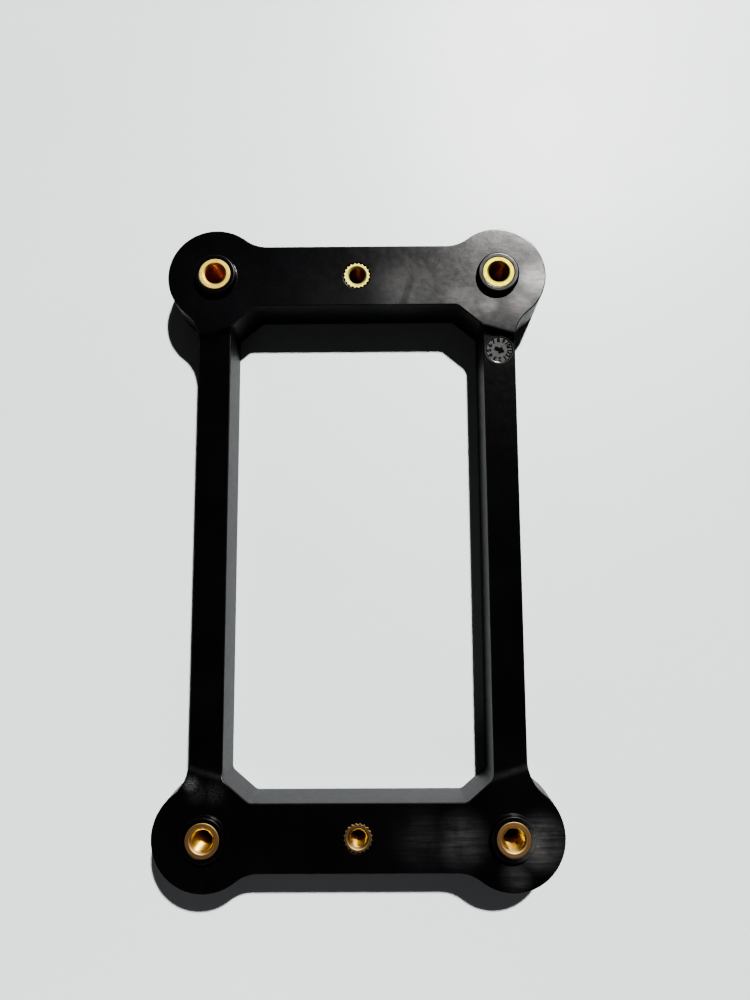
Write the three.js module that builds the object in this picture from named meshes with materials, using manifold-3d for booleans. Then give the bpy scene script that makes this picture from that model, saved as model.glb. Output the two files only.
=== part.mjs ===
// A moulded rectangular mounting frame with a round boss at each corner. Each boss has a raised
// collar round a brass M5 insert, and the middle of each end bar has a flush brass M4 insert.
// Millimetres. X runs across the frame, Y along it and Z up. The origin is on the underside, in
// the middle of the frame's footprint.

import * as THREE from 'three';
import { mergeVertices } from 'three/addons/utils/BufferGeometryUtils.js';
import Module from 'manifold-3d';

const wasm = await Module();
wasm.setup();

// ---------------------------------------------------------------- driving dimensions

const INSERT_SPACING_X = 63; // between the corner inserts, across the frame
const INSERT_SPACING_Y = 120; // between the corner inserts, along the frame
const BODY_HEIGHT = 10.5; // underside to the top of the end bars and bosses
const COLLAR_HEIGHT = 1.5; // above the bosses
const BOSS_RADIUS = 10.75;
const END_BAR_WIDTH = 13.8;
const RAIL_WIDTH = 7;
const RAIL_DROP = 0.6; // the side rails' top lies this far below the bosses
const DRAFT = 0.37; // each wall leans out by this much from the top down to the underside

const COLLAR_RADIUS = 4.5;
const BOSS_BLEND_RADIUS = 8; // concave, where a boss runs into a rail or an end bar
const WEB_ACROSS = 5.6; // the opening's cut corners, measured along X
const WEB_ALONG = 4.7; // and along Y
const WEB_FILLET_RADIUS = 2;

const RAMP_FOOT_Y = 46; // a rail's top starts to rise here
const RAMP_HEAD_Y = 48.7; // and reaches the boss's level here

const INSERT_GAP = 0.08; // between an insert and the wall of its hole
const HOLE_FLOOR = 2; // solid plastic left below each insert's hole

const STAMP_CENTRE_Y = 42.85; // the moulding date dial, on top of the right rail
const STAMP_RADIUS = 3;
const STAMP_HUB_RADIUS = 1.2;
const STAMP_DEPTH = 0.12;

// Both inserts are turned brass. The corner insert has a plain head land on a plain shank. The
// middle insert has a straight knurl that starts at its face, above a plain shank. Each depth is
// measured down from the insert's face.
const CORNER_INSERT = {
  length: 9.5,
  faceRadius: 3.5,
  headDepth: 0.9,
  shankRadius: 3.22,
  boreRadius: 2.1,
  mouthRadius: 2.6,
};
const MIDDLE_INSERT = {
  length: 8,
  faceRadius: 3, // over the tips of the knurl's teeth
  knurlRootRadius: 2.74,
  knurlDepth: 7.2,
  knurlTeeth: 20,
  shankRadius: 2.6,
  boreRadius: 1.65,
  mouthRadius: 2.25,
};

// ---------------------------------------------------------------- worked-out dimensions

const BOSS_X = INSERT_SPACING_X / 2;
const BOSS_Y = INSERT_SPACING_Y / 2;
const RAIL_OUTER_X = BOSS_X + RAIL_WIDTH / 2;
const RAIL_INNER_X = BOSS_X - RAIL_WIDTH / 2;
const BAR_OUTER_Y = BOSS_Y + END_BAR_WIDTH / 2;
const BAR_INNER_Y = BOSS_Y - END_BAR_WIDTH / 2;
const COLLAR_TOP = BODY_HEIGHT + COLLAR_HEIGHT;
const RAIL_TOP = BODY_HEIGHT - RAIL_DROP;

const ARC_STEP = Math.PI / 24; // largest turn between two points of an outline's arc
const ROUND_SEGMENTS = 48; // sides of a collar, a hole or a turned piece
const OVERLAP = 1; // how far a cutting or joining solid runs past the face it works on

// ---------------------------------------------------------------- solids

function toSolid(geometry) {
  const bare = geometry.clone();
  bare.deleteAttribute('normal');
  bare.deleteAttribute('uv');
  const merged = mergeVertices(bare, 1e-4);
  const mesh = new wasm.Mesh({
    numProp: 3,
    vertProperties: Float32Array.from(merged.attributes.position.array),
    triVerts: Uint32Array.from(merged.index.array),
  });
  return new wasm.Manifold(mesh);
}

function toGeometry(solid) {
  const mesh = solid.getMesh();
  const geometry = new THREE.BufferGeometry();
  geometry.setAttribute('position', new THREE.BufferAttribute(mesh.vertProperties, 3));
  geometry.setIndex(new THREE.BufferAttribute(mesh.triVerts, 1));
  geometry.computeVertexNormals();
  return geometry;
}

function boxSolid(low, high) {
  const geometry = new THREE.BoxGeometry(high[0] - low[0], high[1] - low[1], high[2] - low[2]);
  geometry.translate((low[0] + high[0]) / 2, (low[1] + high[1]) / 2, (low[2] + high[2]) / 2);
  return toSolid(geometry);
}

// A solid turned about Z from a profile of [radius, z] pairs that starts and ends on the axis.
function turned(profile, x = 0, y = 0) {
  const points = profile.map(([radius, z]) => new THREE.Vector2(radius, z));
  const geometry = new THREE.LatheGeometry(points, ROUND_SEGMENTS);
  geometry.rotateX(Math.PI / 2);
  geometry.translate(x, y, 0);
  return toSolid(geometry);
}

function cylinder(radius, bottom, top, x, y) {
  return turned([[0, bottom], [radius, bottom], [radius, top], [0, top]], x, y);
}

// ---------------------------------------------------------------- outlines

// Points along an arc, both ends included. The arc turns from one angle to the other directly.
function arcPoints(centreX, centreY, radius, fromAngle, toAngle) {
  const steps = Math.ceil(Math.abs(toAngle - fromAngle) / ARC_STEP);
  const points = [];
  for (let i = 0; i <= steps; i += 1) {
    const angle = fromAngle + ((toAngle - fromAngle) * i) / steps;
    points.push(new THREE.Vector2(
      centreX + radius * Math.cos(angle),
      centreY + radius * Math.sin(angle),
    ));
  }
  return points;
}

// The corner at `corner`, on the way from `before` to `after`, rounded to a radius.
function roundedCorner(before, corner, after, radius) {
  const towardBefore = before.clone().sub(corner).normalize();
  const towardAfter = after.clone().sub(corner).normalize();
  const halfAngle = Math.acos(towardBefore.dot(towardAfter)) / 2;
  const bisector = towardBefore.clone().add(towardAfter).normalize();
  const centre = corner.clone().addScaledVector(bisector, radius / Math.sin(halfAngle));
  const run = radius / Math.tan(halfAngle);
  const start = corner.clone().addScaledVector(towardBefore, run).sub(centre);
  const end = corner.clone().addScaledVector(towardAfter, run).sub(centre);
  const turn = Math.atan2(start.cross(end), start.dot(end));
  return arcPoints(centre.x, centre.y, radius, start.angle(), start.angle() + turn);
}

// A closed counter-clockwise outline from its part in the +X +Y quarter, which runs from the
// right-hand side up and round to the far end.
function mirroredOutline(quarter) {
  const flip = (signX, signY) => quarter.map((p) => new THREE.Vector2(p.x * signX, p.y * signY));
  return [
    ...flip(1, 1),
    ...flip(-1, 1).reverse(),
    ...flip(-1, -1),
    ...flip(1, -1).reverse(),
  ];
}

function outerOutline() {
  const reach = BOSS_RADIUS + BOSS_BLEND_RADIUS;
  const railBlendX = RAIL_OUTER_X + BOSS_BLEND_RADIUS;
  const railBlendY = BOSS_Y - Math.sqrt(reach ** 2 - (railBlendX - BOSS_X) ** 2);
  const barBlendY = BAR_OUTER_Y + BOSS_BLEND_RADIUS;
  const barBlendX = BOSS_X - Math.sqrt(reach ** 2 - (barBlendY - BOSS_Y) ** 2);
  const fromRail = Math.atan2(railBlendY - BOSS_Y, railBlendX - BOSS_X);
  const toBar = Math.atan2(barBlendY - BOSS_Y, barBlendX - BOSS_X);
  const railBlend = arcPoints(
    railBlendX, railBlendY, BOSS_BLEND_RADIUS, Math.PI, fromRail + Math.PI,
  );
  const boss = arcPoints(BOSS_X, BOSS_Y, BOSS_RADIUS, fromRail, toBar);
  const barBlend = arcPoints(
    barBlendX, barBlendY, BOSS_BLEND_RADIUS, toBar - Math.PI, -Math.PI / 2,
  );
  return mirroredOutline([...railBlend, ...boss.slice(1, -1), ...barBlend]);
}

function openingOutline() {
  const onRail = new THREE.Vector2(RAIL_INNER_X, BAR_INNER_Y - WEB_ALONG);
  const onBar = new THREE.Vector2(RAIL_INNER_X - WEB_ACROSS, BAR_INNER_Y);
  const alongRail = new THREE.Vector2(RAIL_INNER_X, 0);
  const alongBar = new THREE.Vector2(0, BAR_INNER_Y);
  return mirroredOutline([
    ...roundedCorner(alongRail, onRail, onBar, WEB_FILLET_RADIUS),
    ...roundedCorner(onRail, onBar, alongBar, WEB_FILLET_RADIUS),
  ]);
}

// ---------------------------------------------------------------- the moulding

// The frame's plain plate, with every wall leaning out by the draft towards the underside. A
// bevel makes the lean on both faces of an extrusion, and only its upper half is kept.
function draftedPlate() {
  const shape = new THREE.Shape(outerOutline());
  shape.holes.push(new THREE.Path(openingOutline()));
  const core = 1;
  const geometry = new THREE.ExtrudeGeometry(shape, {
    depth: core,
    bevelEnabled: true,
    bevelThickness: BODY_HEIGHT,
    bevelSize: DRAFT,
    bevelSegments: 1,
  });
  geometry.translate(0, 0, -core);
  const side = INSERT_SPACING_X;
  const length = INSERT_SPACING_Y;
  return toSolid(geometry).intersect(
    boxSolid([-side, -length, 0], [side, length, BODY_HEIGHT + OVERLAP]),
  );
}

// What is cut away above the side rails, with a ramp up to the bosses at each end.
function railRelief() {
  const top = BODY_HEIGHT + OVERLAP;
  const slope = RAIL_DROP / (RAMP_HEAD_Y - RAMP_FOOT_Y);
  const headY = RAMP_HEAD_Y + OVERLAP / slope;
  const section = new THREE.Shape([
    new THREE.Vector2(-RAMP_FOOT_Y, RAIL_TOP),
    new THREE.Vector2(RAMP_FOOT_Y, RAIL_TOP),
    new THREE.Vector2(headY, top),
    new THREE.Vector2(-headY, top),
  ]);
  const width = 2 * INSERT_SPACING_X;
  const geometry = new THREE.ExtrudeGeometry(section, { depth: width, bevelEnabled: false });
  geometry.translate(0, 0, -width / 2);
  geometry.rotateX(Math.PI / 2);
  geometry.rotateZ(Math.PI / 2);
  return toSolid(geometry);
}

// The shallow round recess of the moulding date dial, with its hub left standing.
function stampRecess() {
  const floor = RAIL_TOP - STAMP_DEPTH;
  const top = RAIL_TOP + OVERLAP;
  return cylinder(STAMP_RADIUS, floor, top, BOSS_X, STAMP_CENTRE_Y).subtract(
    cylinder(STAMP_HUB_RADIUS, floor - OVERLAP, top + OVERLAP, BOSS_X, STAMP_CENTRE_Y),
  );
}

function mouldedFrame(corners, middles) {
  let frame = draftedPlate().subtract(railRelief()).subtract(stampRecess());
  for (const [x, y] of corners) {
    frame = frame.add(cylinder(COLLAR_RADIUS, BODY_HEIGHT - OVERLAP, COLLAR_TOP, x, y));
    const holeRadius = CORNER_INSERT.faceRadius + INSERT_GAP;
    frame = frame.subtract(cylinder(holeRadius, HOLE_FLOOR, COLLAR_TOP + OVERLAP, x, y));
  }
  for (const [x, y] of middles) {
    const holeRadius = MIDDLE_INSERT.faceRadius + INSERT_GAP;
    frame = frame.subtract(cylinder(holeRadius, HOLE_FLOOR, BODY_HEIGHT + OVERLAP, x, y));
  }
  return toGeometry(frame);
}

// ---------------------------------------------------------------- the inserts

// Each insert has its face at z = 0 and its body below.

function shank(insert) {
  return cylinder(insert.shankRadius, -insert.length, 0, 0, 0);
}

// The screw's bore, right through, with a countersunk mouth at the face.
function bore(insert) {
  const sink = insert.mouthRadius - insert.boreRadius;
  return turned([
    [0, -insert.length - OVERLAP],
    [insert.boreRadius, -insert.length - OVERLAP],
    [insert.boreRadius, -sink],
    [insert.mouthRadius + OVERLAP, OVERLAP],
    [0, OVERLAP],
  ]);
}

// A straight knurl: a prism with pointed teeth.
function knurl(insert) {
  const points = [];
  for (let i = 0; i < 2 * insert.knurlTeeth; i += 1) {
    const radius = i % 2 === 0 ? insert.faceRadius : insert.knurlRootRadius;
    const angle = (Math.PI * i) / insert.knurlTeeth;
    points.push(new THREE.Vector2(radius * Math.cos(angle), radius * Math.sin(angle)));
  }
  const geometry = new THREE.ExtrudeGeometry(new THREE.Shape(points), {
    depth: insert.knurlDepth,
    bevelEnabled: false,
  });
  geometry.translate(0, 0, -insert.knurlDepth);
  return toSolid(geometry);
}

function cornerInsertGeometry(insert) {
  const head = cylinder(insert.faceRadius, -insert.headDepth, 0, 0, 0);
  return toGeometry(shank(insert).add(head).subtract(bore(insert)));
}

function middleInsertGeometry(insert) {
  return toGeometry(shank(insert).add(knurl(insert)).subtract(bore(insert)));
}

// ---------------------------------------------------------------- the assembly

const blackPlastic = new THREE.MeshStandardMaterial({
  color: 0x0c0c0d, roughness: 0.42, metalness: 0,
});
const brass = new THREE.MeshStandardMaterial({
  color: 0xc79a3c, roughness: 0.3, metalness: 1,
});

const CORNERS = [
  ['back_left', -BOSS_X, BOSS_Y],
  ['back_right', BOSS_X, BOSS_Y],
  ['front_left', -BOSS_X, -BOSS_Y],
  ['front_right', BOSS_X, -BOSS_Y],
];
const MIDDLES = [
  ['back', 0, BOSS_Y],
  ['front', 0, -BOSS_Y],
];

function namedMesh(name, geometry, material, position = [0, 0, 0]) {
  const mesh = new THREE.Mesh(geometry, material.clone());
  mesh.name = name;
  mesh.position.set(...position);
  return mesh;
}

const holder = new THREE.Group();

const frameGeometry = mouldedFrame(
  CORNERS.map(([, x, y]) => [x, y]),
  MIDDLES.map(([, x, y]) => [x, y]),
);
holder.add(namedMesh('frame_moulding', frameGeometry, blackPlastic));

for (const [place, x, y] of CORNERS) {
  const geometry = cornerInsertGeometry(CORNER_INSERT);
  holder.add(namedMesh(`corner_insert_${place}`, geometry, brass, [x, y, COLLAR_TOP]));
}

for (const [place, x, y] of MIDDLES) {
  const geometry = middleInsertGeometry(MIDDLE_INSERT);
  holder.add(namedMesh(`middle_insert_${place}`, geometry, brass, [x, y, BODY_HEIGHT]));
}

export default holder;
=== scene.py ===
import math

import bmesh
import bpy
import numpy as np
from mathutils import Matrix, Vector
from mathutils.geometry import delaunay_2d_cdt


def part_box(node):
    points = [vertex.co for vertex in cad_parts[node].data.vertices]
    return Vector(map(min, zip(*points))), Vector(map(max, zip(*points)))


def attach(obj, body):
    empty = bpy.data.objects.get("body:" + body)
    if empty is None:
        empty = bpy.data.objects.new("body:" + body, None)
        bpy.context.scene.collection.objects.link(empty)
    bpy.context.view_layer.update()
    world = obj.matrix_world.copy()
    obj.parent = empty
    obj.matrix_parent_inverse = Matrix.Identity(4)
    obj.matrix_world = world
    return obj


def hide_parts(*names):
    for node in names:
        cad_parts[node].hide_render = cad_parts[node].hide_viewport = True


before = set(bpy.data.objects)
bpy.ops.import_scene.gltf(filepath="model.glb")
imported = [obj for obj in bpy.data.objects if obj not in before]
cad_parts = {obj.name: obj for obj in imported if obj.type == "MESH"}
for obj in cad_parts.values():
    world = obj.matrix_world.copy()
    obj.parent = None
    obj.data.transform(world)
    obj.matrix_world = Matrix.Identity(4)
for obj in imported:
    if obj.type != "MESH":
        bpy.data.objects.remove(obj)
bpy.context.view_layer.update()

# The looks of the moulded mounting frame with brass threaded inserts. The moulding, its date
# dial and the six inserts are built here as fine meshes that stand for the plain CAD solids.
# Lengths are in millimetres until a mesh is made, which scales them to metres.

MM = 0.001
BODY = "root"

# ------------------------------------------------------------------ sizes taken from the frame


def box_mm(node):
    """A CAD node's lowest and highest corners, in millimetres."""
    low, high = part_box(node)
    return low / MM, high / MM


frame_high = box_mm("frame_moulding")[1]
corner_low, corner_high = box_mm("corner_insert_back_right")
middle_low, middle_high = box_mm("middle_insert_back")

BOSS_X = (corner_low.x + corner_high.x) / 2
BOSS_Y = (corner_low.y + corner_high.y) / 2
COLLAR_TOP = frame_high.z
BODY_TOP = middle_high.z
CORNER_CREST = (corner_high.x - corner_low.x) / 2
MIDDLE_CREST = (middle_high.x - middle_low.x) / 2
CORNER_LENGTH = corner_high.z - corner_low.z
MIDDLE_LENGTH = middle_high.z - middle_low.z

# ------------------------------------------------------------------ the design's other sizes

DRAFT = 0.37  # each wall leans out by this much from the top down to the underside
BOSS_RADIUS = frame_high.x - BOSS_X - DRAFT
BOSS_BLEND_RADIUS = 8.0  # concave, where a boss runs into a rail or an end bar
END_BAR_WIDTH = 13.8
RAIL_WIDTH = 7.0
RAIL_DROP = 0.6  # the side rails' top lies this far below the bosses
WEB_ACROSS = 5.6  # the opening's cut corners, measured along X
WEB_ALONG = 4.7  # and along Y
WEB_FILLET_RADIUS = 2.0
BACK_RAMP_HEAD_Y = 47.35  # where a boss's level top ends on the way to the rail
FRONT_RAMP_HEAD_Y = 48.4
RAMP_FOOT_Y = 45.75  # and where the rail's own level begins
RAMP_SLANT = 0.3  # the ramp lies nearer the middle on its outer side, by this slope
RAMP_SPAN = 5.0  # the slant counts no further than this from the rail's middle
GLOSS_HEAD_Y = 48.8  # the rails' polish begins here
GLOSS_FOOT_Y = 46.4  # and is full from here
HOLE_FLOOR = 2.0  # the floor of each insert's hole, above the underside

COLLAR_RADIUS = 4.6
COLLAR_ROUND = 0.34  # round the collar's upper edge
COLLAR_FILLET = 0.14  # where it stands on the boss
COLLAR_GLOSS = 0.5  # of a rail's polish
INSERT_SEAM = 0.03  # between the plastic and an insert's crests
HOLE_BREAK = 0.06  # the small chamfer at a hole's edge

TOP_ROUND = 0.2  # along the upper edges
BOTTOM_ROUND = 0.16  # along the underside's edges
BOTTOM_WEAR = 0.4  # how worn the underside's edge is, from 0 to 1
SUPPORT = 0.06  # width of the narrow rows that keep a flat face's shading flat

DIAL_X = BOSS_X
DIAL_Y = 42.85
DIAL_RADIUS = 3.1
DIAL_DEPTH = 0.1
RIM_WIDTH = 0.1  # the dial's grained rim
RIM_SINK = 0.01  # and how far its inner edge lies below the rail
RING_OUTER = 0.12  # the smooth ring's edges, in from the dial's radius
RING_INNER = 0.3

RAIL_OUTER_X = BOSS_X + RAIL_WIDTH / 2
RAIL_INNER_X = BOSS_X - RAIL_WIDTH / 2
BAR_OUTER_Y = BOSS_Y + END_BAR_WIDTH / 2
BAR_INNER_Y = BOSS_Y - END_BAR_WIDTH / 2
RAIL_TOP = BODY_TOP - RAIL_DROP

ARC_STEP = math.radians(3)  # largest turn between two points of an outline's arc
LINE_STEP = 0.5  # largest gap between two points of its straight lines
ROUND_POINTS = 120
ROUND_STEPS = 6  # rows round an upper edge
FILLET_STEPS = 3  # rows round a lower edge or a fillet
RAMP_GRID = 0.35  # between the extra points on the ramps
RAMP_COLUMNS = 24  # of them on each side of a rail's middle
RAMP_ROWS = (-2, 18)  # the first row from the ramp's foot, and the one after the last
RAMP_MARGIN = 0.6 * RAMP_GRID  # those points' least distance from the edges round them
DIAL_MARGIN = 2 * SUPPORT + 0.4 * RAMP_GRID  # and from the dial
COLLAR_MARGIN = 0.5 * COLLAR_RADIUS  # and from the collars
SAME_POINT = 1e-6

# ------------------------------------------------------------------ plane outlines


def arc_points(x, y, radius, start, end):
    """Points along an arc from one angle to the other, both ends included."""
    count = max(2, math.ceil(abs(end - start) / ARC_STEP))
    angles = np.linspace(start, end, count + 1)
    return np.column_stack([x + radius * np.cos(angles), y + radius * np.sin(angles)])


def rounded_corner(before, corner, after, radius):
    """The arc that rounds a corner on the way from one point to the next."""
    before, corner, after = np.array(before), np.array(corner), np.array(after)
    back = (before - corner) / np.linalg.norm(before - corner)
    ahead = (after - corner) / np.linalg.norm(after - corner)
    half = math.acos(back @ ahead) / 2
    middle = (back + ahead) / np.linalg.norm(back + ahead)
    centre = corner + middle * radius / math.sin(half)
    start = corner + back * radius / math.tan(half) - centre
    end = corner + ahead * radius / math.tan(half) - centre
    turn = math.atan2(start[0] * end[1] - start[1] * end[0], start @ end)
    angle = math.atan2(start[1], start[0])
    return arc_points(centre[0], centre[1], radius, angle, angle + turn)


def mirrored(quarter):
    """A closed outline from its part in the +X +Y quarter, with long lines cut short."""
    parts = [
        quarter,
        (quarter * (-1, 1))[::-1],
        quarter * (-1, -1),
        (quarter * (1, -1))[::-1],
    ]
    outline = np.vstack(parts)
    points = []
    for here, there in zip(outline, np.roll(outline, -1, axis=0)):
        gap = np.linalg.norm(there - here)
        if gap > SAME_POINT:
            steps = max(1, math.ceil(gap / LINE_STEP))
            points += [here + (there - here) * k / steps for k in range(steps)]
    return np.array(points)


def outer_outline():
    """The top's outer edge: rails and end bars, blended into the four round bosses."""
    reach = BOSS_RADIUS + BOSS_BLEND_RADIUS
    rail_x = RAIL_OUTER_X + BOSS_BLEND_RADIUS
    rail_y = BOSS_Y - math.sqrt(reach**2 - (rail_x - BOSS_X) ** 2)
    bar_y = BAR_OUTER_Y + BOSS_BLEND_RADIUS
    bar_x = BOSS_X - math.sqrt(reach**2 - (bar_y - BOSS_Y) ** 2)
    from_rail = math.atan2(rail_y - BOSS_Y, rail_x - BOSS_X)
    to_bar = math.atan2(bar_y - BOSS_Y, bar_x - BOSS_X)
    rail_blend = arc_points(rail_x, rail_y, BOSS_BLEND_RADIUS, math.pi, from_rail + math.pi)
    boss = arc_points(BOSS_X, BOSS_Y, BOSS_RADIUS, from_rail, to_bar)
    bar_blend = arc_points(bar_x, bar_y, BOSS_BLEND_RADIUS, to_bar - math.pi, -math.pi / 2)
    return mirrored(np.vstack([rail_blend, boss[1:-1], bar_blend]))


def opening_outline():
    """The top's inner edge: a rectangle with its corners cut off and rounded."""
    on_rail = (RAIL_INNER_X, BAR_INNER_Y - WEB_ALONG)
    on_bar = (RAIL_INNER_X - WEB_ACROSS, BAR_INNER_Y)
    low = rounded_corner((RAIL_INNER_X, 0), on_rail, on_bar, WEB_FILLET_RADIUS)
    high = rounded_corner(on_rail, on_bar, (0, BAR_INNER_Y), WEB_FILLET_RADIUS)
    return mirrored(np.vstack([low, high]))


def outward(outline, side):
    """Unit normals of a counter-clockwise outline: side 1 points out of it, -1 into it."""
    along = np.roll(outline, -1, axis=0) - np.roll(outline, 1, axis=0)
    normals = np.column_stack([along[:, 1], -along[:, 0]]) * side
    return normals / np.linalg.norm(normals, axis=1)[:, None]


def circle(x, y, radius, count=ROUND_POINTS):
    """Points round a circle, counter-clockwise."""
    angles = np.arange(count) * 2 * math.pi / count
    return np.column_stack([x + radius * np.cos(angles), y + radius * np.sin(angles)])


def inside(points, outline):
    """Which points lie inside a closed outline, by counting crossings."""
    x, y = points[:, 0][:, None], points[:, 1][:, None]
    x1, y1 = outline[:, 0], outline[:, 1]
    x2, y2 = np.roll(x1, -1), np.roll(y1, -1)
    spans = (y1 > y) != (y2 > y)
    rise = np.where(y2 == y1, 1.0, y2 - y1)
    crossing = x1 + (y - y1) / rise * (x2 - x1)
    return (spans & (x < crossing)).sum(axis=1) % 2 == 1


# ------------------------------------------------------------------ surfaces made of rows


class Surface:
    """A closed mesh, collected row by row in millimetres."""

    def __init__(self):
        self.points = []
        self.faces = []
        self.zones = []
        self.marks = {"edge": [], "wall": [], "gloss": []}

    def mark(self, count, **values):
        """Notes what the last points stand on, from 0 to 1: a worn edge, a wall or a polish."""
        for label, marks in self.marks.items():
            marks += [values.get(label, 0.0)] * count

    def row(self, xy, z, **marks):
        """Adds a closed row of points."""
        heights = np.broadcast_to(z, len(xy))
        first = len(self.points)
        self.points += [(float(x), float(y), float(h)) for (x, y), h in zip(xy, heights)]
        self.mark(len(xy), **marks)
        return list(range(first, len(self.points)))

    def strip(self, one, other, zone=0):
        """Joins two rows of the same length with a band of faces."""
        for i in range(len(one)):
            j = (i + 1) % len(one)
            self.faces.append((one[i], one[j], other[j], other[i]))
            self.zones.append(zone)

    def strips(self, rows, zone=0):
        """Joins each row with the next."""
        for one, other in zip(rows, rows[1:]):
            self.strip(one, other, zone)

    def close(self, row, zone=0):
        """Fills a round row with a fan to its middle."""
        middle = np.mean([self.points[i] for i in row], axis=0)
        tip = len(self.points)
        self.points.append(tuple(float(v) for v in middle))
        self.mark(1)
        for i in range(len(row)):
            self.faces.append((row[i], row[(i + 1) % len(row)], tip))
            self.zones.append(zone)

    def fill(self, outer, holes, extra, height, zone=0):
        """Fills the plane region between rows. extra are further points inside it."""
        loops = [outer, *holes]
        index = [i for loop in loops for i in loop]
        flat = [Vector(self.points[i][:2]) for i in index]
        borders = []
        start = 0
        for loop in loops:
            count = len(loop)
            borders += [(start + k, start + (k + 1) % count) for k in range(count)]
            start += count
        for x, y in extra:
            flat.append(Vector((x, y)))
            index.append(len(self.points))
            self.points.append((float(x), float(y), float(height(x, y))))
            self.mark(1)
        made = delaunay_2d_cdt(flat, borders, [], 0, SAME_POINT)
        corners = np.array([tuple(v) for v in made[0]])
        triangles = np.array(made[2])
        origin = [index[sources[0]] for sources in made[3]]
        centres = corners[triangles].mean(axis=1)
        keep = inside(centres, self.flat(outer))
        for hole in holes:
            keep &= ~inside(centres, self.flat(hole))
        for triangle in triangles[keep]:
            self.faces.append(tuple(origin[k] for k in triangle))
            self.zones.append(zone)

    def flat(self, row):
        """A row's points as seen from above."""
        return np.array([self.points[i][:2] for i in row])

    def build(self, name, materials):
        """Makes the mesh object, in metres, smooth, with its faces pointing out."""
        mesh = bpy.data.meshes.new(name)
        mesh.from_pydata([Vector(p) * MM for p in self.points], [], self.faces)
        for material in materials:
            mesh.materials.append(material)
        mesh.polygons.foreach_set("material_index", self.zones)
        mesh.polygons.foreach_set("use_smooth", [True] * len(self.faces))
        for label, values in self.marks.items():
            layer = mesh.attributes.new(label, "FLOAT", "POINT")
            layer.data.foreach_set("value", np.asarray(values, np.float32))
        work = bmesh.new()
        work.from_mesh(mesh)
        bmesh.ops.recalc_face_normals(work, faces=work.faces)
        work.to_mesh(mesh)
        work.free()
        mesh.validate()
        piece = bpy.data.objects.new(name, mesh)
        bpy.context.scene.collection.objects.link(piece)
        return piece


def quarter_round(radius, steps, start, end):
    """(sine, cosine) pairs of a quarter round's points, times its radius."""
    angles = np.linspace(start, end, steps + 1)
    return [(radius * math.sin(a), radius * math.cos(a)) for a in angles]


# ------------------------------------------------------------------ the moulding


def along_rail(x, y, head, foot):
    """0 on the bars and bosses, 1 on the side rails, and a soft step from head to foot."""
    slant = RAMP_SLANT * np.clip(np.abs(x) - BOSS_X, -RAMP_SPAN, RAMP_SPAN)
    t = np.clip((head - slant - np.abs(y)) / (head - foot), 0, 1)
    return t * t * (3 - 2 * t)


def top_height(x, y):
    """The height of the moulding's top without its collars."""
    head = np.where(np.asarray(y) > 0, BACK_RAMP_HEAD_Y, FRONT_RAMP_HEAD_Y)
    return BODY_TOP - RAIL_DROP * along_rail(x, y, head, RAMP_FOOT_Y)


def wall_rows(surface, outline, side):
    """A wall's rows from the underside's edge to the top's edge, both rounded."""
    normals = outward(outline, side)

    def placed(offset, z=None, below_top=0.0, **marks):
        xy = outline + normals * offset
        if z is None:
            z = top_height(xy[:, 0], xy[:, 1]) - below_top
        return surface.row(xy, z, **marks)

    rows = [placed(DRAFT - BOTTOM_ROUND - SUPPORT, 0.0)]
    for out, up in quarter_round(BOTTOM_ROUND, FILLET_STEPS, 0, math.pi / 2):
        offset = DRAFT - BOTTOM_ROUND + out
        rows.append(placed(offset, BOTTOM_ROUND - up, edge=BOTTOM_WEAR, wall=1))
    rows.append(placed(DRAFT, BOTTOM_ROUND + SUPPORT, wall=1))
    rows.append(placed(0.0, below_top=TOP_ROUND + SUPPORT, wall=1))
    for out, up in quarter_round(TOP_ROUND, ROUND_STEPS, math.pi / 2, 0):
        worn = math.sin(2 * math.atan2(up, out))
        rows.append(placed(out - TOP_ROUND, below_top=TOP_ROUND - up, edge=worn, wall=worn))
    rows.append(placed(-TOP_ROUND - SUPPORT))
    surface.strips(rows)
    return rows[0], rows[-1]


def turned_rows(surface, x, y, profile, zone=0, count=ROUND_POINTS, gloss=0.0):
    """Rows turned about an upright axis through (x, y) from (radius, z, edge) triples."""
    rows = [surface.row(circle(x, y, r, count), z, edge=e, gloss=gloss) for r, z, e in profile]
    surface.strips(rows, zone)
    return rows


def collar(surface, x, y):
    """A raised collar with its insert's hole, from its foot on the boss to the hole's floor."""
    foot = COLLAR_RADIUS + COLLAR_FILLET
    hole = CORNER_CREST + INSERT_SEAM
    level = turned_rows(surface, x, y, [(foot + SUPPORT, BODY_TOP, 0), (foot, BODY_TOP, 0)])
    profile = []
    for out, up in quarter_round(COLLAR_FILLET, FILLET_STEPS, 0, math.pi / 2)[1:]:
        profile.append((foot - out, BODY_TOP + COLLAR_FILLET - up, 1))
    crown = COLLAR_TOP - COLLAR_ROUND
    profile.append((COLLAR_RADIUS, crown - SUPPORT, 0))
    for out, up in quarter_round(COLLAR_ROUND, ROUND_STEPS, math.pi / 2, 0):
        worn = math.sin(2 * math.atan2(up, out))
        profile.append((COLLAR_RADIUS - COLLAR_ROUND + out, crown + up, (1 + worn) / 2))
    profile.append((COLLAR_RADIUS - COLLAR_ROUND - SUPPORT, COLLAR_TOP, 0))
    profile.append((hole + HOLE_BREAK + SUPPORT, COLLAR_TOP, 0))
    profile.append((hole + HOLE_BREAK, COLLAR_TOP, 1))
    profile.append((hole, COLLAR_TOP - HOLE_BREAK, 1))
    profile += hole_profile(hole, COLLAR_TOP - HOLE_BREAK)
    rows = turned_rows(surface, x, y, profile, gloss=COLLAR_GLOSS)
    surface.strip(level[-1], rows[0])
    surface.close(rows[-1])
    return level[0]


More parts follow.
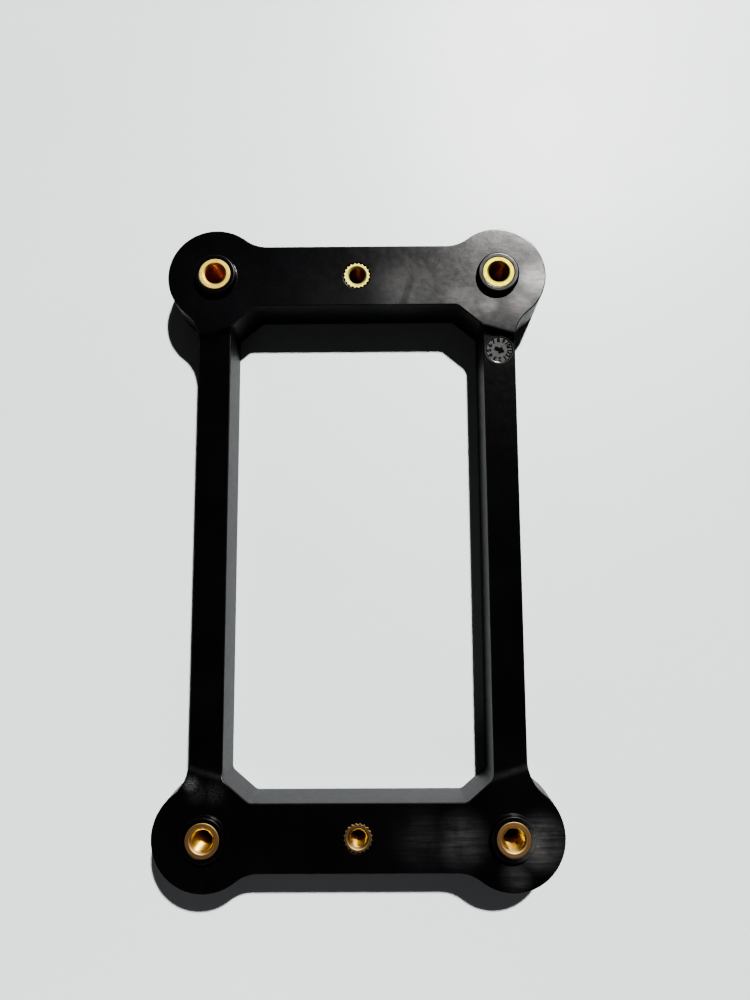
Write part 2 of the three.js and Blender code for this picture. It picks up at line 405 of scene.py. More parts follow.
def hole_profile(radius, top):
    """An insert's hole from just below its mouth to the edge of its floor's middle."""
    return [
        (radius, top - SUPPORT, 0),
        (radius, HOLE_FLOOR + SUPPORT, 0),
        (radius, HOLE_FLOOR, 0),
        (radius - SUPPORT, HOLE_FLOOR, 0),
        (radius / 2, HOLE_FLOOR, 0),
    ]


def flush_hole(surface, x, y):
    """The hole of an insert that is flush with the end bar."""
    hole = MIDDLE_CREST + INSERT_SEAM
    profile = [(hole + HOLE_BREAK + SUPPORT, BODY_TOP, 0), (hole + HOLE_BREAK, BODY_TOP, 1)]
    profile.append((hole, BODY_TOP - HOLE_BREAK, 1))
    profile += hole_profile(hole, BODY_TOP - HOLE_BREAK)
    rows = turned_rows(surface, x, y, profile)
    surface.close(rows[-1])
    return rows[0]


def dial_recess(surface):
    """The date dial's recess in the right rail: a grained ground and a thin grained rim (zone 1),
    with a smooth ring between them."""
    floor = RAIL_TOP - DIAL_DEPTH
    rim = [(DIAL_RADIUS + 2 * SUPPORT, RAIL_TOP, 0), (DIAL_RADIUS + SUPPORT, RAIL_TOP, 0)]
    rows = turned_rows(surface, DIAL_X, DIAL_Y, rim)
    edge = surface.row(circle(DIAL_X, DIAL_Y, DIAL_RADIUS - RIM_WIDTH), RAIL_TOP - RIM_SINK)
    surface.strip(rows[-1], edge, 1)
    ring = [(DIAL_RADIUS - RING_OUTER, floor, 0), (DIAL_RADIUS - RING_INNER, floor, 0)]
    rows += turned_rows(surface, DIAL_X, DIAL_Y, ring)
    surface.strip(edge, rows[2])
    ground = surface.row(circle(DIAL_X, DIAL_Y, DIAL_RADIUS / 2), floor)
    surface.strip(rows[-1], ground, 1)
    surface.close(ground, 1)
    return rows[0]


def ramp_points(outer, opening):
    """Points close together on the four ramps, clear of the rows round them."""
    across = np.arange(-RAMP_COLUMNS, RAMP_COLUMNS + 1) * RAMP_GRID
    along = np.arange(*RAMP_ROWS) * RAMP_GRID
    grid = []
    for k, dy in enumerate(along):
        shift = RAMP_GRID / 2 if k % 2 else 0.0
        grid += [(BOSS_X + dx + shift, RAMP_FOOT_Y + dy) for dx in across]
    grid = np.array(grid)
    clear = inside(grid, outer) & ~inside(grid, opening)
    for border in (outer, opening):
        gaps = np.linalg.norm(grid[:, None, :] - border[None, :, :], axis=2).min(axis=1)
        clear &= gaps > RAMP_MARGIN
    from_dial = np.linalg.norm(grid - (DIAL_X, DIAL_Y), axis=1)
    from_boss = np.linalg.norm(grid - (BOSS_X, BOSS_Y), axis=1)
    clear &= from_dial > DIAL_RADIUS + DIAL_MARGIN
    clear &= from_boss > COLLAR_RADIUS + COLLAR_MARGIN
    grid = grid[clear]
    return np.vstack([grid * (sx, sy) for sx in (1, -1) for sy in (1, -1)])


def moulding(materials):
    """The whole moulding, with the date dial's recess but not its marks."""
    surface = Surface()
    outer_low, outer_high = wall_rows(surface, outer_outline(), 1)
    opening_low, opening_high = wall_rows(surface, opening_outline(), -1)
    holes = [collar(surface, sx * BOSS_X, sy * BOSS_Y) for sx in (1, -1) for sy in (1, -1)]
    holes += [flush_hole(surface, 0.0, sy * BOSS_Y) for sy in (1, -1)]
    holes.append(dial_recess(surface))
    extra = ramp_points(surface.flat(outer_high), surface.flat(opening_high))
    surface.fill(outer_high, [opening_high, *holes], extra, top_height)
    surface.fill(outer_low, [opening_low], [], lambda x, y: 0.0)
    x, y = np.array(surface.points)[:, :2].T
    rails = along_rail(x, y, GLOSS_HEAD_Y, GLOSS_FOOT_Y)
    surface.marks["gloss"] = np.maximum(surface.marks["gloss"], rails)
    piece = surface.build("frame_moulding_surface", materials)
    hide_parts("frame_moulding")
    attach(piece, BODY)
    return piece


# ------------------------------------------------------------------ the date dial's relief

DIGIT_HEIGHT = 0.95
DIGIT_RELIEF = 0.08
DIGIT_CIRCLE = 2.2
MONTHS = 12
FONT_CAP_HEIGHT = 0.73  # of the built-in font, for a size of 1
FONT_WEIGHT = 0.045  # how much the strokes are thickened, for a height of 1
LAST_MONTH_AT = math.radians(117)  # clockwise from the top
ARROW_AT = math.radians(114)


def raised(name, outline, bottom, top):
    """A flat relief mark with a closed outline, as an object."""
    work = bmesh.new()
    low = [work.verts.new(Vector((x, y, bottom)) * MM) for x, y in outline]
    high = [work.verts.new(Vector((x, y, top)) * MM) for x, y in outline]
    work.faces.new(low[::-1])
    work.faces.new(high)
    for i in range(len(outline)):
        j = (i + 1) % len(outline)
        work.faces.new((low[i], low[j], high[j], high[i]))
    mesh = bpy.data.meshes.new(name)
    work.to_mesh(mesh)
    work.free()
    piece = bpy.data.objects.new(name, mesh)
    bpy.context.scene.collection.objects.link(piece)
    return piece


def number(text, angle, bottom):
    """A dial number, upright towards the middle, at an angle clockwise from the top."""
    curve = bpy.data.curves.new("number", "FONT")
    curve.body = text
    curve.align_x = "CENTER"
    curve.align_y = "CENTER"
    curve.size = DIGIT_HEIGHT / FONT_CAP_HEIGHT
    curve.extrude = DIGIT_RELIEF / 2
    curve.offset = DIGIT_HEIGHT * FONT_WEIGHT
    curve.resolution_u = 3
    maker = bpy.data.objects.new("number", curve)
    bpy.context.scene.collection.objects.link(maker)
    bpy.context.view_layer.update()
    graph = bpy.context.evaluated_depsgraph_get()
    mesh = bpy.data.meshes.new_from_object(maker.evaluated_get(graph))
    bpy.data.objects.remove(maker)
    x = DIAL_X + DIGIT_CIRCLE * math.sin(angle)
    y = DIAL_Y + DIGIT_CIRCLE * math.cos(angle)
    place = Matrix.Translation((x, y, bottom + DIGIT_RELIEF / 2))
    mesh.transform(Matrix.Scale(MM, 4) @ place @ Matrix.Rotation(-angle, 4, "Z"))
    piece = bpy.data.objects.new("number", mesh)
    bpy.context.scene.collection.objects.link(piece)
    return piece


def arrow_outline(angle):
    """An arrow across the dial's middle, at an angle clockwise from the top."""
    shaft, neck, wing, tip, tail = 0.42, 0.1, 0.95, 1.25, -1.05
    half = [(0, tip), (-wing, neck), (-shaft, neck), (-shaft, tail)]
    points = np.array(half + [(-x, y) for x, y in half[:0:-1]])
    turn = np.array([[math.cos(angle), -math.sin(angle)], [math.sin(angle), math.cos(angle)]])
    return points @ turn + (DIAL_X, DIAL_Y)


def date_dial(material):
    """The dial's month numbers and arrow, joined into one piece."""
    floor = RAIL_TOP - DIAL_DEPTH
    top = floor + DIGIT_RELIEF
    parts = []
    for month in range(1, MONTHS + 1):
        parts.append(number(str(month), LAST_MONTH_AT + 2 * math.pi * month / MONTHS, floor))
    parts.append(raised("arrow", arrow_outline(ARROW_AT), floor, top))
    bpy.ops.object.select_all(action="DESELECT")
    for part in parts:
        part.select_set(True)
    bpy.context.view_layer.objects.active = parts[0]
    bpy.ops.object.join()
    dial = bpy.context.view_layer.objects.active
    dial.name = "date_dial_marks"
    dial.data.name = "date_dial_marks"
    dial.data.materials.clear()
    dial.data.materials.append(material)
    dial.data.polygons.foreach_set("material_index", [0] * len(dial.data.polygons))
    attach(dial, BODY)
    return dial


# ------------------------------------------------------------------ the inserts

KNURL_DEPTH = 0.28
PILOT_INSET = 0.4  # the plain shank below the knurl, in from the crests

# Depths are measured down from the insert's face.
CORNER_INSERT = {
    "length": CORNER_LENGTH,
    "crest": CORNER_CREST,
    "root": CORNER_CREST - KNURL_DEPTH,
    "head": 0.9,
    "knurl_end": 8.6,
    "pilot": CORNER_CREST - PILOT_INSET,
    "teeth": 24,
    "mouth": 2.6,
    "minor": 2.1,
    "major": 2.5,
    "pitch": 0.8,
}
MIDDLE_INSERT = {
    "length": MIDDLE_LENGTH,
    "crest": MIDDLE_CREST,
    "root": MIDDLE_CREST - KNURL_DEPTH,
    "head": 0.0,
    "knurl_end": 7.2,
    "pilot": MIDDLE_CREST - PILOT_INSET,
    "teeth": 20,
    "mouth": 2.25,
    "minor": 1.65,
    "major": 2.0,
    "pitch": 0.7,
}
POINTS_PER_TOOTH = 8
ROWS_PER_PITCH = 7
FACE_BREAK = 0.07  # the small chamfer at the face's edge
KNURL_BEVEL = 0.25
SHOULDER = 0.02  # the height of a step between two radii
END_CHAMFER = 0.15
MOUTH_BREAK = 0.03  # the rubbed edge of the countersink
MOUTH_SLOPE = 2.0  # the countersink's radius over its depth
TOOTH_STEEPNESS = 1.5
TOOTH_FLAT = 0.15
THREAD_FLAT = 0.25  # of half a pitch: the thread's crest
THREAD_FLANK = 0.62  # of half a pitch: each of its sloping sides
# How far each of these edges is painted in brighter brass: partly wear, partly a painted highlight.
FACE_WEAR_AND_HIGHLIGHT = 0.6
KNURL_WEAR_AND_HIGHLIGHT = 0.5
MOUTH_WEAR_AND_HIGHLIGHT = 0.8


def thread_radius(insert, angles, depth):
    """The thread's wall radius round one level: a 60 degree groove with flat crest and root."""
    turn = (depth / insert["pitch"] + angles / (2 * math.pi)) % 1.0
    flank = np.abs(turn - 0.5) * 2
    cut = np.clip((1 - flank - THREAD_FLAT) / THREAD_FLANK, 0, 1)
    return insert["minor"] + (insert["major"] - insert["minor"]) * cut


def mouth_radius(insert, depth, level):
    """The countersink's radius at a depth below the face that it opens in."""
    return insert["mouth"] - MOUTH_SLOPE * abs(depth - level)


def insert_surface(insert):
    """One insert with its face at z = 0, as rows round its section."""
    surface = Surface()
    teeth = insert["teeth"]
    count = teeth * POINTS_PER_TOOTH
    angles = np.arange(count) * 2 * math.pi / count
    saw = np.abs((angles * teeth / (2 * math.pi)) % 1.0 - 0.5) * 2
    tooth = np.clip(saw * TOOTH_STEEPNESS - TOOTH_FLAT, 0, 1)
    length = insert["length"]

    def row(radius, depth, edge=0.0, wall=0.0):
        xy = np.column_stack([radius * np.cos(angles), radius * np.sin(angles)])
        return surface.row(xy, -depth, edge=edge, wall=wall)

    knurl = insert["crest"] - (insert["crest"] - insert["root"]) * tooth
    rim = insert["crest"] if insert["head"] else knurl
    rows = [
        row(rim - FACE_BREAK - SUPPORT, 0),
        row(rim - FACE_BREAK, 0, FACE_WEAR_AND_HIGHLIGHT),
        row(rim, FACE_BREAK, FACE_WEAR_AND_HIGHLIGHT),
    ]
    if insert["head"]:
        rows.append(row(rim, FACE_BREAK + SUPPORT))
        rows.append(row(rim, insert["head"]))
        rows.append(row(insert["root"], insert["head"] + SHOULDER))
        rows.append(row(knurl, insert["head"] + KNURL_BEVEL, KNURL_WEAR_AND_HIGHLIGHT))
    rows.append(row(knurl, insert["knurl_end"] - KNURL_BEVEL, KNURL_WEAR_AND_HIGHLIGHT))
    rows.append(row(insert["root"], insert["knurl_end"]))
    rows.append(row(insert["pilot"], insert["knurl_end"] + SHOULDER))
    rows.append(row(insert["pilot"], length - END_CHAMFER))
    rows.append(row(insert["pilot"] - END_CHAMFER, length))
    rows.append(row(insert["mouth"], length))

    step = insert["pitch"] / ROWS_PER_PITCH
    for depth in np.arange(length - step / 2, 0, -step):
        sink = max(mouth_radius(insert, depth, 0.0), mouth_radius(insert, depth, length))
        bored = 1.0 if sink < insert["minor"] else 0.0
        radius = np.maximum(thread_radius(insert, angles, depth), sink)
        rows.append(row(radius, depth, wall=bored))
    rows.append(row(insert["mouth"], SHOULDER, MOUTH_WEAR_AND_HIGHLIGHT))
    rows.append(row(insert["mouth"] + MOUTH_BREAK, 0, MOUTH_WEAR_AND_HIGHLIGHT))
    rows.append(row(insert["mouth"] + MOUTH_BREAK + SUPPORT, 0))
    surface.strips(rows)
    surface.strip(rows[-1], rows[0])
    return surface


def add_insert(node, name, insert, material):
    """Puts an insert's fine mesh where its CAD node is."""
    piece = insert_surface(insert).build(name, [material])
    low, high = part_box(node)
    piece.location = ((low.x + high.x) / 2, (low.y + high.y) / 2, high.z)
    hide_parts(node)
    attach(piece, BODY)
    return piece


# ------------------------------------------------------------------ materials

# Soft round spots on the frame's top: x, y, radius, softness and amount. First the haze on the
# front right boss and bar.
HAZE = (
    (37.0, -61.0, 7.6, 6.8, 1.0),
    (32.0, -67.5, 4.5, 4.0, 0.5),
    (21.0, -60.5, 7.8, 7.2, 0.62),
    (13.0, -60.3, 8.5, 8.0, 0.26),
)
# A finger's smear on the back bar.
SMEAR = ((9.5, 57.5, 8.5, 7.5, 0.3),)
# Softly dulled spots on the back bar and the back right boss.
DULLED = (
    (10.0, 56.5, 9.5, 8.0, 0.3),
    (23.0, 53.0, 7.0, 6.0, 0.5),
    (29.0, 53.0, 3.6, 3.2, 0.6),
    (40.0, 58.5, 6.0, 5.0, 1.0),
    (36.6, 53.4, 4.6, 4.0, 0.6),
)
# Scuffs on the front left ramp.
SCUFFS = (
    (-34.3, -49.3, 2.3, 2.1, 0.9),
    (-29.6, -51.2, 3.4, 3.2, 0.22),
    (-33.0, -51.0, 3.4, 3.2, 0.22),
)
# A line wiped clean on the back bar: where it meets the bar's outer edge, how far it leans, its
# core's and its edge's distance from the middle, its strength and where it fades along Y.
WIPED_X = 14.4
WIPED_LEAN = 0.3
WIPED_EDGES = (0.2, 1.4)
WIPED_STRENGTH = 0.5
WIPED_FADE = (64, 57)
# Where the top's satin grows rougher across the frame, and smoother again along it.
ROUGHER_ACROSS = (-4, 8)
SMOOTHER_ALONG = (53, 68)
# The plastic's roughness.
SATIN_LEFT = 0.182
SATIN_RIGHT = 0.202
POLISHED = 0.16
HAZED = 0.55
WALLS = (0.46, 0.5)
DULLED_MORE = 0.055
WIPED_LESS = 0.03
EDGE_MORE = 0.2

# Each insert's brass: its face's and its bore's colour. The faces are lit and shaded copies of one
# brass. They are painted lighter and yellower on the back inserts, where the sun's highlight falls,
# and darker and browner as painted shade on the front ones.
# The bores' colours are painted light and shade: a sunlit bore for the front inserts and bores in
# painted shade for the back ones. All are redder, as a painted reflection inside the hole.
SHADED_BORE = (0.74, 0.33, 0.12)
DEEP_SHADED_BORE = (0.46, 0.20, 0.09)
LIT_BORE = (0.93, 0.68, 0.20)
CORNER_LIT_AND_SHADED_TONES = {
    "back_left": ((0.46, 0.35, 0.10), SHADED_BORE),
    "back_right": ((0.37, 0.33, 0.05), DEEP_SHADED_BORE),
    "front_left": ((0.26, 0.155, 0.08), LIT_BORE),
    "front_right": ((0.26, 0.165, 0.09), LIT_BORE),
}
MIDDLE_LIT_AND_SHADED_TONES = {
    "back": ((0.40, 0.37, 0.12), DEEP_SHADED_BORE),
    "front": ((0.16, 0.105, 0.065), LIT_BORE),
}
# The brighter brass at the inserts' edges: partly rubbed wear, partly a painted highlight.
RUBBED_AND_HIGHLIGHT_BRASS = (0.72, 0.56, 0.22, 1)
TURNING_PITCH = 0.12  # between the fine rings that the tool left on a face


class Nodes:
    """A short way to write a material's node tree."""

    def __init__(self, name):
        self.material = bpy.data.materials.new(name)
        self.material.use_nodes = True
        self.tree = self.material.node_tree
        self.tree.nodes.clear()
        self.output = self.tree.nodes.new("ShaderNodeOutputMaterial")
        self.shader = self.tree.nodes.new("ShaderNodeBsdfPrincipled")
        self.tree.links.new(self.shader.outputs[0], self.output.inputs["Surface"])
        place = self.tree.nodes.new("ShaderNodeTexCoord")
        self.position = self.vector("MULTIPLY", place.outputs["Object"], (1 / MM,) * 3)

    def feed(self, socket, value):
        """Links another node's output to a socket, or sets the socket to a plain value."""
        if isinstance(value, bpy.types.NodeSocket):
            self.tree.links.new(value, socket)
        else:
            socket.default_value = value

    def set(self, name, value):
        """Gives the surface shader one of its inputs."""
        self.feed(self.shader.inputs[name], value)

    def vector(self, operation, one, other=(0, 0, 0)):
        """A sum on vectors, whose result is a number or a vector."""
        node = self.tree.nodes.new("ShaderNodeVectorMath")
        node.operation = operation
        self.feed(node.inputs[0], one)
        self.feed(node.inputs[1], other)
        number = operation in ("LENGTH", "DISTANCE", "DOT_PRODUCT")
        return node.outputs["Value" if number else "Vector"]

    def math(self, operation, one, other=0.0, clamp=False):
        """A sum on numbers."""
        node = self.tree.nodes.new("ShaderNodeMath")
        node.operation = operation
        node.use_clamp = clamp
        self.feed(node.inputs[0], one)
        self.feed(node.inputs[1], other)
        return node.outputs[0]

    def noise(self, scale, detail=3.0, roughness=0.5, stretch=(1, 1, 1), seed=0.0):
        """Noise from 0 to 1 with this many features to the millimetre."""
        node = self.tree.nodes.new("ShaderNodeTexNoise")
        node.noise_dimensions = "4D"
        self.feed(node.inputs["Vector"], self.vector("MULTIPLY", self.position, stretch))
        node.inputs["W"].default_value = seed
        node.inputs["Scale"].default_value = scale
        node.inputs["Detail"].default_value = detail
        node.inputs["Roughness"].default_value = roughness
        return node.outputs[0]

    def ramp(self, value, low, high, out_low=0.0, out_high=1.0):
        """A soft step from one result to the other as the value goes from low to high."""
        node = self.tree.nodes.new("ShaderNodeMapRange")
        node.interpolation_type = "SMOOTHSTEP"
        self.feed(node.inputs["Value"], value)
        self.feed(node.inputs["From Min"], low)
        self.feed(node.inputs["From Max"], high)
        self.feed(node.inputs["To Min"], out_low)
        self.feed(node.inputs["To Max"], out_high)
        return node.outputs[0]

    def vary(self, noise, low, high):
        """Spreads a noise's usual values from low to high."""
        return self.ramp(noise, 0.3, 0.7, low, high)

    def attribute(self, name):
        """One of the marks that the mesh carries at its points."""
        node = self.tree.nodes.new("ShaderNodeAttribute")
        node.attribute_name = name
        return node.outputs["Fac"]

    def mix(self, share, one, other):
        """A blend of two colours, through the node's colour sockets."""
        node = self.tree.nodes.new("ShaderNodeMix")
        node.data_type = "RGBA"
        self.feed(node.inputs["Factor"], share)
        self.feed(node.inputs[6], one)
        self.feed(node.inputs[7], other)
        return node.outputs[2]

    def blend(self, share, one, other):
        """A blend of two numbers."""
        node = self.tree.nodes.new("ShaderNodeMix")
        node.data_type = "FLOAT"
        self.feed(node.inputs["Factor"], share)
        self.feed(node.inputs[2], one)
        self.feed(node.inputs[3], other)
        return node.outputs[0]

    def bump(self, height, depth_mm, normal=None, strength=1.0):
        """Relief of this depth, on top of an earlier relief if one is given."""
        node = self.tree.nodes.new("ShaderNodeBump")
        self.feed(node.inputs["Strength"], strength)
        node.inputs["Distance"].default_value = depth_mm * MM
        self.feed(node.inputs["Height"], height)
        if normal is not None:
            self.feed(node.inputs["Normal"], normal)
        return node.outputs[0]

    def spots(self, places):
        """The strongest of some soft round spots, each given as HAZE's are."""
        flat = self.vector("MULTIPLY", self.position, (1, 1, 0))
        mask = 0.0
        for x, y, radius, softness, amount in places:
            away = self.vector("DISTANCE", flat, (x, y, 0))
            spot = self.ramp(away, radius, radius - softness, 0.0, amount)
            mask = self.math("MAXIMUM", spot, mask)
        return mask


def grey(value, blue=1.0):
    """A grey colour, with its blue raised by this factor."""
    return (value, value, value * blue, 1)


def black_plastic():
    """Satin black plastic: polished on the rails and collars, matt on the walls, hazy in places."""
    n = Nodes("black_plastic")
    gloss, edge, wall = n.attribute("gloss"), n.attribute("edge"), n.attribute("wall")
    grain = n.noise(4.5, 3, 0.6)
    mottle = n.noise(0.9, 4, 0.55, seed=3)
    cloud = n.noise(0.09, 3, 0.5, seed=5)
    patch = n.noise(0.22, 3, 0.6, seed=17)
    streak = n.noise(1.0, 5, 0.65, stretch=(0.4, 1.6, 1), seed=7)
    scratch = n.noise(2.0, 4, 0.7, stretch=(0.8, 2.0, 1), seed=15)
    brushed = n.noise(1.0, 4, 0.6, stretch=(0.16, 2.4, 1), seed=19)
    across = n.vector("DOT_PRODUCT", n.position, (1, 0, 0))
    along = n.vector("DOT_PRODUCT", n.position, (0, 1, 0))

    satin = n.ramp(across, *ROUGHER_ACROSS, SATIN_LEFT, SATIN_RIGHT)
    satin = n.math("ADD", n.vary(mottle, -0.006, 0.01), satin)
    satin = n.math("ADD", satin, n.ramp(along, *SMOOTHER_ALONG, 0.008, -0.024))
    satin = n.math("ADD", satin, n.vary(grain, -0.006, 0.012))
    leaning = n.vector("DOT_PRODUCT", n.position, (1, -WIPED_LEAN, 0))
    wiped_away = n.math("ABSOLUTE", n.math("ADD", leaning, WIPED_LEAN * BAR_OUTER_Y - WIPED_X))
    wiped = n.ramp(wiped_away, *WIPED_EDGES, WIPED_STRENGTH, 0.0)
    wiped = n.math("MULTIPLY", wiped, n.ramp(along, *WIPED_FADE))
    unwiped = n.math("SUBTRACT", 1.0, wiped)
    satin = n.math("SUBTRACT", satin, n.math("MULTIPLY", wiped, WIPED_LESS))
    polish = n.math("ADD", n.vary(mottle, -0.01, 0.01), POLISHED)
    rough = n.blend(gloss, satin, polish)

    haze = n.math("MULTIPLY", n.spots(HAZE), n.vary(brushed, 0.45, 1.0))
    haze = n.math("MULTIPLY", haze, n.ramp(patch, 0.35, 0.6, 0.55, 1.0))
    smear = n.math("MULTIPLY", n.spots(SMEAR), n.ramp(patch, 0.3, 0.65, 0.3, 1.0))
    smear = n.math("MULTIPLY", smear, unwiped)
    dulled = n.math("MULTIPLY", n.spots(DULLED), n.vary(streak, 0.5, 1.0))
    dulled = n.math("MULTIPLY", dulled, unwiped)
    scuffs = n.math("MULTIPLY", n.spots(SCUFFS), n.ramp(scratch, 0.3, 0.75))
    rough = n.blend(haze, rough, HAZED)
    rough = n.math("ADD", rough, n.math("MULTIPLY", dulled, DULLED_MORE))
    rough = n.blend(wall, rough, n.vary(mottle, *WALLS))

    rubbed = n.math("MULTIPLY", edge, n.ramp(n.noise(0.8, 5, 0.7, seed=11), 0.45, 0.75))
    dust = n.ramp(n.noise(2.6, 2, 0.5, seed=13), 0.785, 0.80)
    base = n.mix(n.vary(cloud, 0.0, 1.0), grey(0.003, 1.2), grey(0.005, 1.3))
    base = n.mix(n.math("MAXIMUM", haze, smear), base, grey(0.07))
    base = n.mix(scuffs, base, grey(0.14))
    base = n.mix(n.math("MULTIPLY", rubbed, 0.5), base, grey(0.015))
    base = n.mix(n.math("MULTIPLY", dust, 0.3), base, grey(0.2))
    n.set("Base Color", base)
    n.set("Roughness", n.math("ADD", rough, n.math("MULTIPLY", edge, EDGE_MORE), clamp=True))
    n.set("Specular IOR Level", n.blend(edge, n.blend(dulled, 0.5, 0.8), 0.15))

    fine = n.blend(gloss, 1.0, 0.15)
    normal = n.bump(grain, 0.004, strength=fine)
    normal = n.bump(streak, 0.003, normal, fine)
    normal = n.bump(mottle, 0.005, normal, fine)
    normal = n.bump(cloud, 0.15, normal, 0.5)
    n.set("Normal", normal)
    return n.material


def blasted_plastic():
    """The date dial's ground: black plastic with a coarse blasted grain that catches the light."""
    n = Nodes("blasted_plastic")
    grain = n.noise(9, 3, 0.7)
    n.set("Base Color", n.mix(n.ramp(grain, 0.35, 0.7), grey(0.011), grey(0.036)))
    n.set("Roughness", n.vary(grain, 0.45, 0.65))
    n.set("Normal", n.bump(grain, 0.05))
    return n.material


def dial_plastic():
    """The dial's raised numbers and hand: smooth black plastic."""
    n = Nodes("dial_plastic")
    fine = n.noise(6, 2, 0.5)
    n.set("Base Color", n.mix(fine, grey(0.002), grey(0.004)))
    n.set("Roughness", n.vary(fine, 0.12, 0.17))
    n.set("Specular IOR Level", 0.3)
    n.set("Normal", n.bump(fine, 0.002))
    return n.material


def brass(name, tone, bore_tone):
    """Turned brass: fine rings on the faces, and edges painted brighter, partly as rubbed wear and
    partly as a painted highlight. The bore is glossier, and its colour is painted light and shade,
    redder for painted reflections inside it.
    """
    n = Nodes(name)
    clean, dull = (*tone, 1), (*(0.8 * part for part in tone), 1)
    edge, bore = n.attribute("edge"), n.attribute("wall")
    radius = n.vector("LENGTH", n.vector("MULTIPLY", n.position, (1, 1, 0)))
    rings = n.math("SINE", n.math("MULTIPLY", radius, 2 * math.pi / TURNING_PITCH))
    tarnish = n.noise(1.1, 4, 0.6, seed=2)
    speck = n.noise(6, 2, 0.5, seed=4)
    base = n.mix(n.ramp(tarnish, 0.35, 0.75), clean, dull)
    # Edges painted brighter: partly rubbed wear, partly a painted highlight.
    base = n.mix(n.math("MULTIPLY", edge, 0.6), base, RUBBED_AND_HIGHLIGHT_BRASS)
    # The bore takes its painted light and shade colour, redder for painted reflections inside it.
    base = n.mix(bore, base, (*bore_tone, 1))
    n.set("Base Color", base)
    n.set("Metallic", 1.0)
    face = n.ramp(tarnish, 0.3, 0.8, 0.53, 0.6)
    n.set("Roughness", n.blend(bore, face, n.ramp(tarnish, 0.3, 0.8, 0.31, 0.37)))
    normal = n.bump(rings, 0.002)
    normal = n.bump(speck, 0.003, normal)
    n.set("Normal", normal)
    return n.material


def sheet_material():
    """The plain pale floor."""
    n = Nodes("pale_floor")
    cloud = n.noise(0.01, 3, 0.5)
    n.set("Base Color", n.mix(cloud, (0.66, 0.705, 0.725, 1), (0.70, 0.74, 0.755, 1)))
    n.set("Roughness", n.vary(cloud, 0.42, 0.5))
    n.set("Normal", n.bump(n.noise(0.25, 3, 0.5, seed=1), 0.15, strength=0.3))
    return n.material


# ------------------------------------------------------------------ floor, light and camera

SENSOR = 36.0  # across the picture's longer side
LENS = 27.036
CAMERA_AT = Vector((4.52, -11.13, BODY_TOP + 160.22))
CAMERA_TILT = (math.radians(7.29), math.radians(0.29), math.radians(-0.30))

KEY_TOWARD = Vector((0.28, 0.72, 1.0))  # from the frame to the sun
KEY_STRENGTH = 5.75
KEY_SPREAD = math.radians(2.2)
KEY_COLOUR = (1.0, 0.985, 0.96)

FILL_AT = Vector((-20.0, -210.0, 90.0))  # a soft panel low in front, which lifts the near shadows
FILL_TOWARD = Vector((0.0, -80.0, 0.0))
FILL_SIZE = 120.0
FILL_WATTS = 0.03

FLOOR_HALF = 3000.0

SKY_COLOUR = (1.0, 0.91, 0.93, 1)
SKY_STRENGTH = 0.022
BAND_STRENGTH = 0.25  # of the light from just above the horizon
BAND_TOP = math.sin(math.radians(24))
BACKDROP = (0.80, 0.82, 0.83, 1)


def studio():
    """The floor, the sun, the low front panel, and the sky."""
    half = FLOOR_HALF * MM
    corners = [(-half, -half), (half, -half), (half, half), (-half, half)]
    mesh = bpy.data.meshes.new("floor")
    mesh.from_pydata([(x, y, 0.0) for x, y in corners], [], [(0, 1, 2, 3)])
    mesh.materials.append(sheet_material())
    floor = bpy.data.objects.new("floor", mesh)
    bpy.context.scene.collection.objects.link(floor)

    key = bpy.data.lights.new("key", "SUN")
    key.energy = KEY_STRENGTH
    key.angle = KEY_SPREAD
    key.color = KEY_COLOUR
    lamp = bpy.data.objects.new("key", key)
    lamp.rotation_euler = KEY_TOWARD.to_track_quat("Z", "Y").to_euler()
    bpy.context.scene.collection.objects.link(lamp)

    panel = bpy.data.lights.new("fill", "AREA")
    panel.size = FILL_SIZE * MM
    panel.energy = FILL_WATTS
    fill = bpy.data.objects.new("fill", panel)
    fill.location = FILL_AT * MM
    fill.rotation_euler = (FILL_AT - FILL_TOWARD).to_track_quat("Z", "Y").to_euler()
    bpy.context.scene.collection.objects.link(fill)

    bpy.context.scene.world = soft_sky()
    bpy.context.scene.view_settings.look = "AgX - High Contrast"


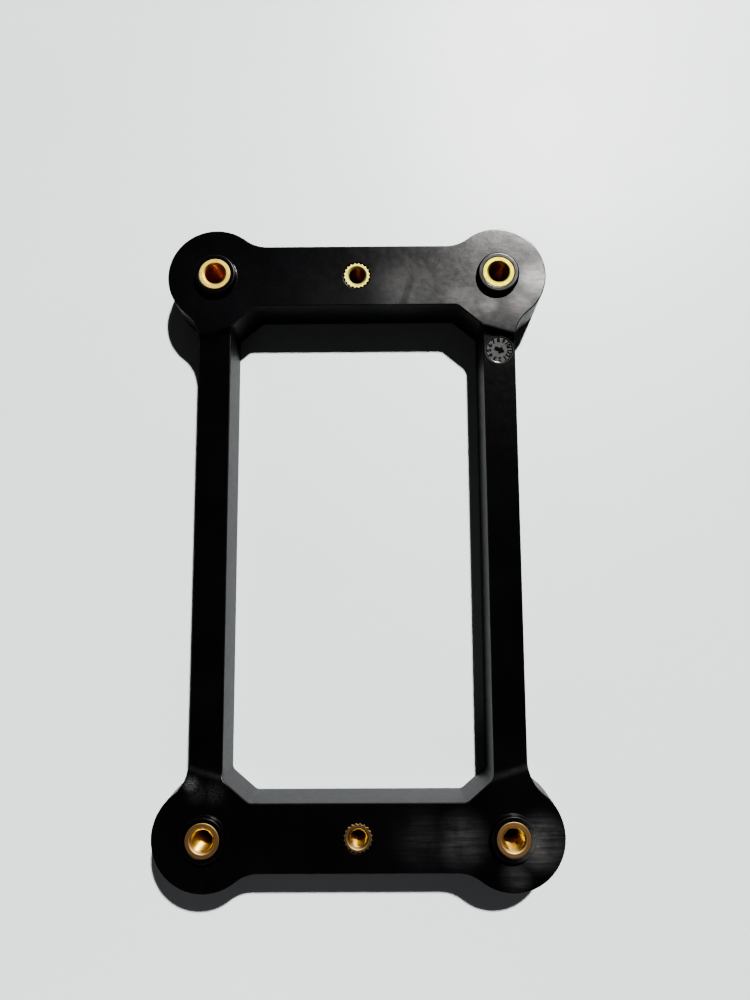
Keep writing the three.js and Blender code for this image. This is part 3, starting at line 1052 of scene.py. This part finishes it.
def soft_sky():
    """A dim sky with a soft pale band low round the horizon. A view sees a plain pale backdrop."""
    world = bpy.data.worlds.new("soft_sky")
    world.use_nodes = True
    tree = world.node_tree
    sky = tree.nodes["Background"]
    sky.inputs["Color"].default_value = SKY_COLOUR
    direction = tree.nodes.new("ShaderNodeTexCoord")
    height = tree.nodes.new("ShaderNodeSeparateXYZ")
    tree.links.new(direction.outputs["Generated"], height.inputs[0])
    band = tree.nodes.new("ShaderNodeMapRange")
    band.interpolation_type = "SMOOTHSTEP"
    band.inputs["From Min"].default_value = 0.0
    band.inputs["From Max"].default_value = BAND_TOP
    band.inputs["To Min"].default_value = BAND_STRENGTH
    band.inputs["To Max"].default_value = SKY_STRENGTH
    tree.links.new(height.outputs["Z"], band.inputs["Value"])
    tree.links.new(band.outputs[0], sky.inputs["Strength"])
    backdrop = tree.nodes.new("ShaderNodeBackground")
    backdrop.inputs["Color"].default_value = BACKDROP
    rays = tree.nodes.new("ShaderNodeLightPath")
    seen = tree.nodes.new("ShaderNodeMixShader")
    tree.links.new(rays.outputs["Is Camera Ray"], seen.inputs["Fac"])
    tree.links.new(sky.outputs[0], seen.inputs[1])
    tree.links.new(backdrop.outputs[0], seen.inputs[2])
    tree.links.new(seen.outputs[0], tree.nodes["World Output"].inputs["Surface"])
    return world


def camera():
    """The camera that took the photo, as worked out from it."""
    data = bpy.data.cameras.new("camera")
    data.sensor_fit = "AUTO"
    data.sensor_width = SENSOR
    data.lens = LENS
    data.clip_start = 0.01
    eye = bpy.data.objects.new("camera", data)
    eye.location = CAMERA_AT * MM
    eye.rotation_euler = CAMERA_TILT
    bpy.context.scene.collection.objects.link(eye)
    bpy.context.scene.camera = eye


# ------------------------------------------------------------------ the whole scene

camera()
studio()
moulding([black_plastic(), blasted_plastic()])
date_dial(dial_plastic())
for kind, insert, tones in (
    ("corner", CORNER_INSERT, CORNER_LIT_AND_SHADED_TONES),
    ("middle", MIDDLE_INSERT, MIDDLE_LIT_AND_SHADED_TONES),
):
    for place, (face_tone, bore_tone) in tones.items():
        material = brass(f"{kind}_brass_{place}", face_tone, bore_tone)
        name = f"{kind}_insert_surface_{place}"
        add_insert(f"{kind}_insert_{place}", name, insert, material)
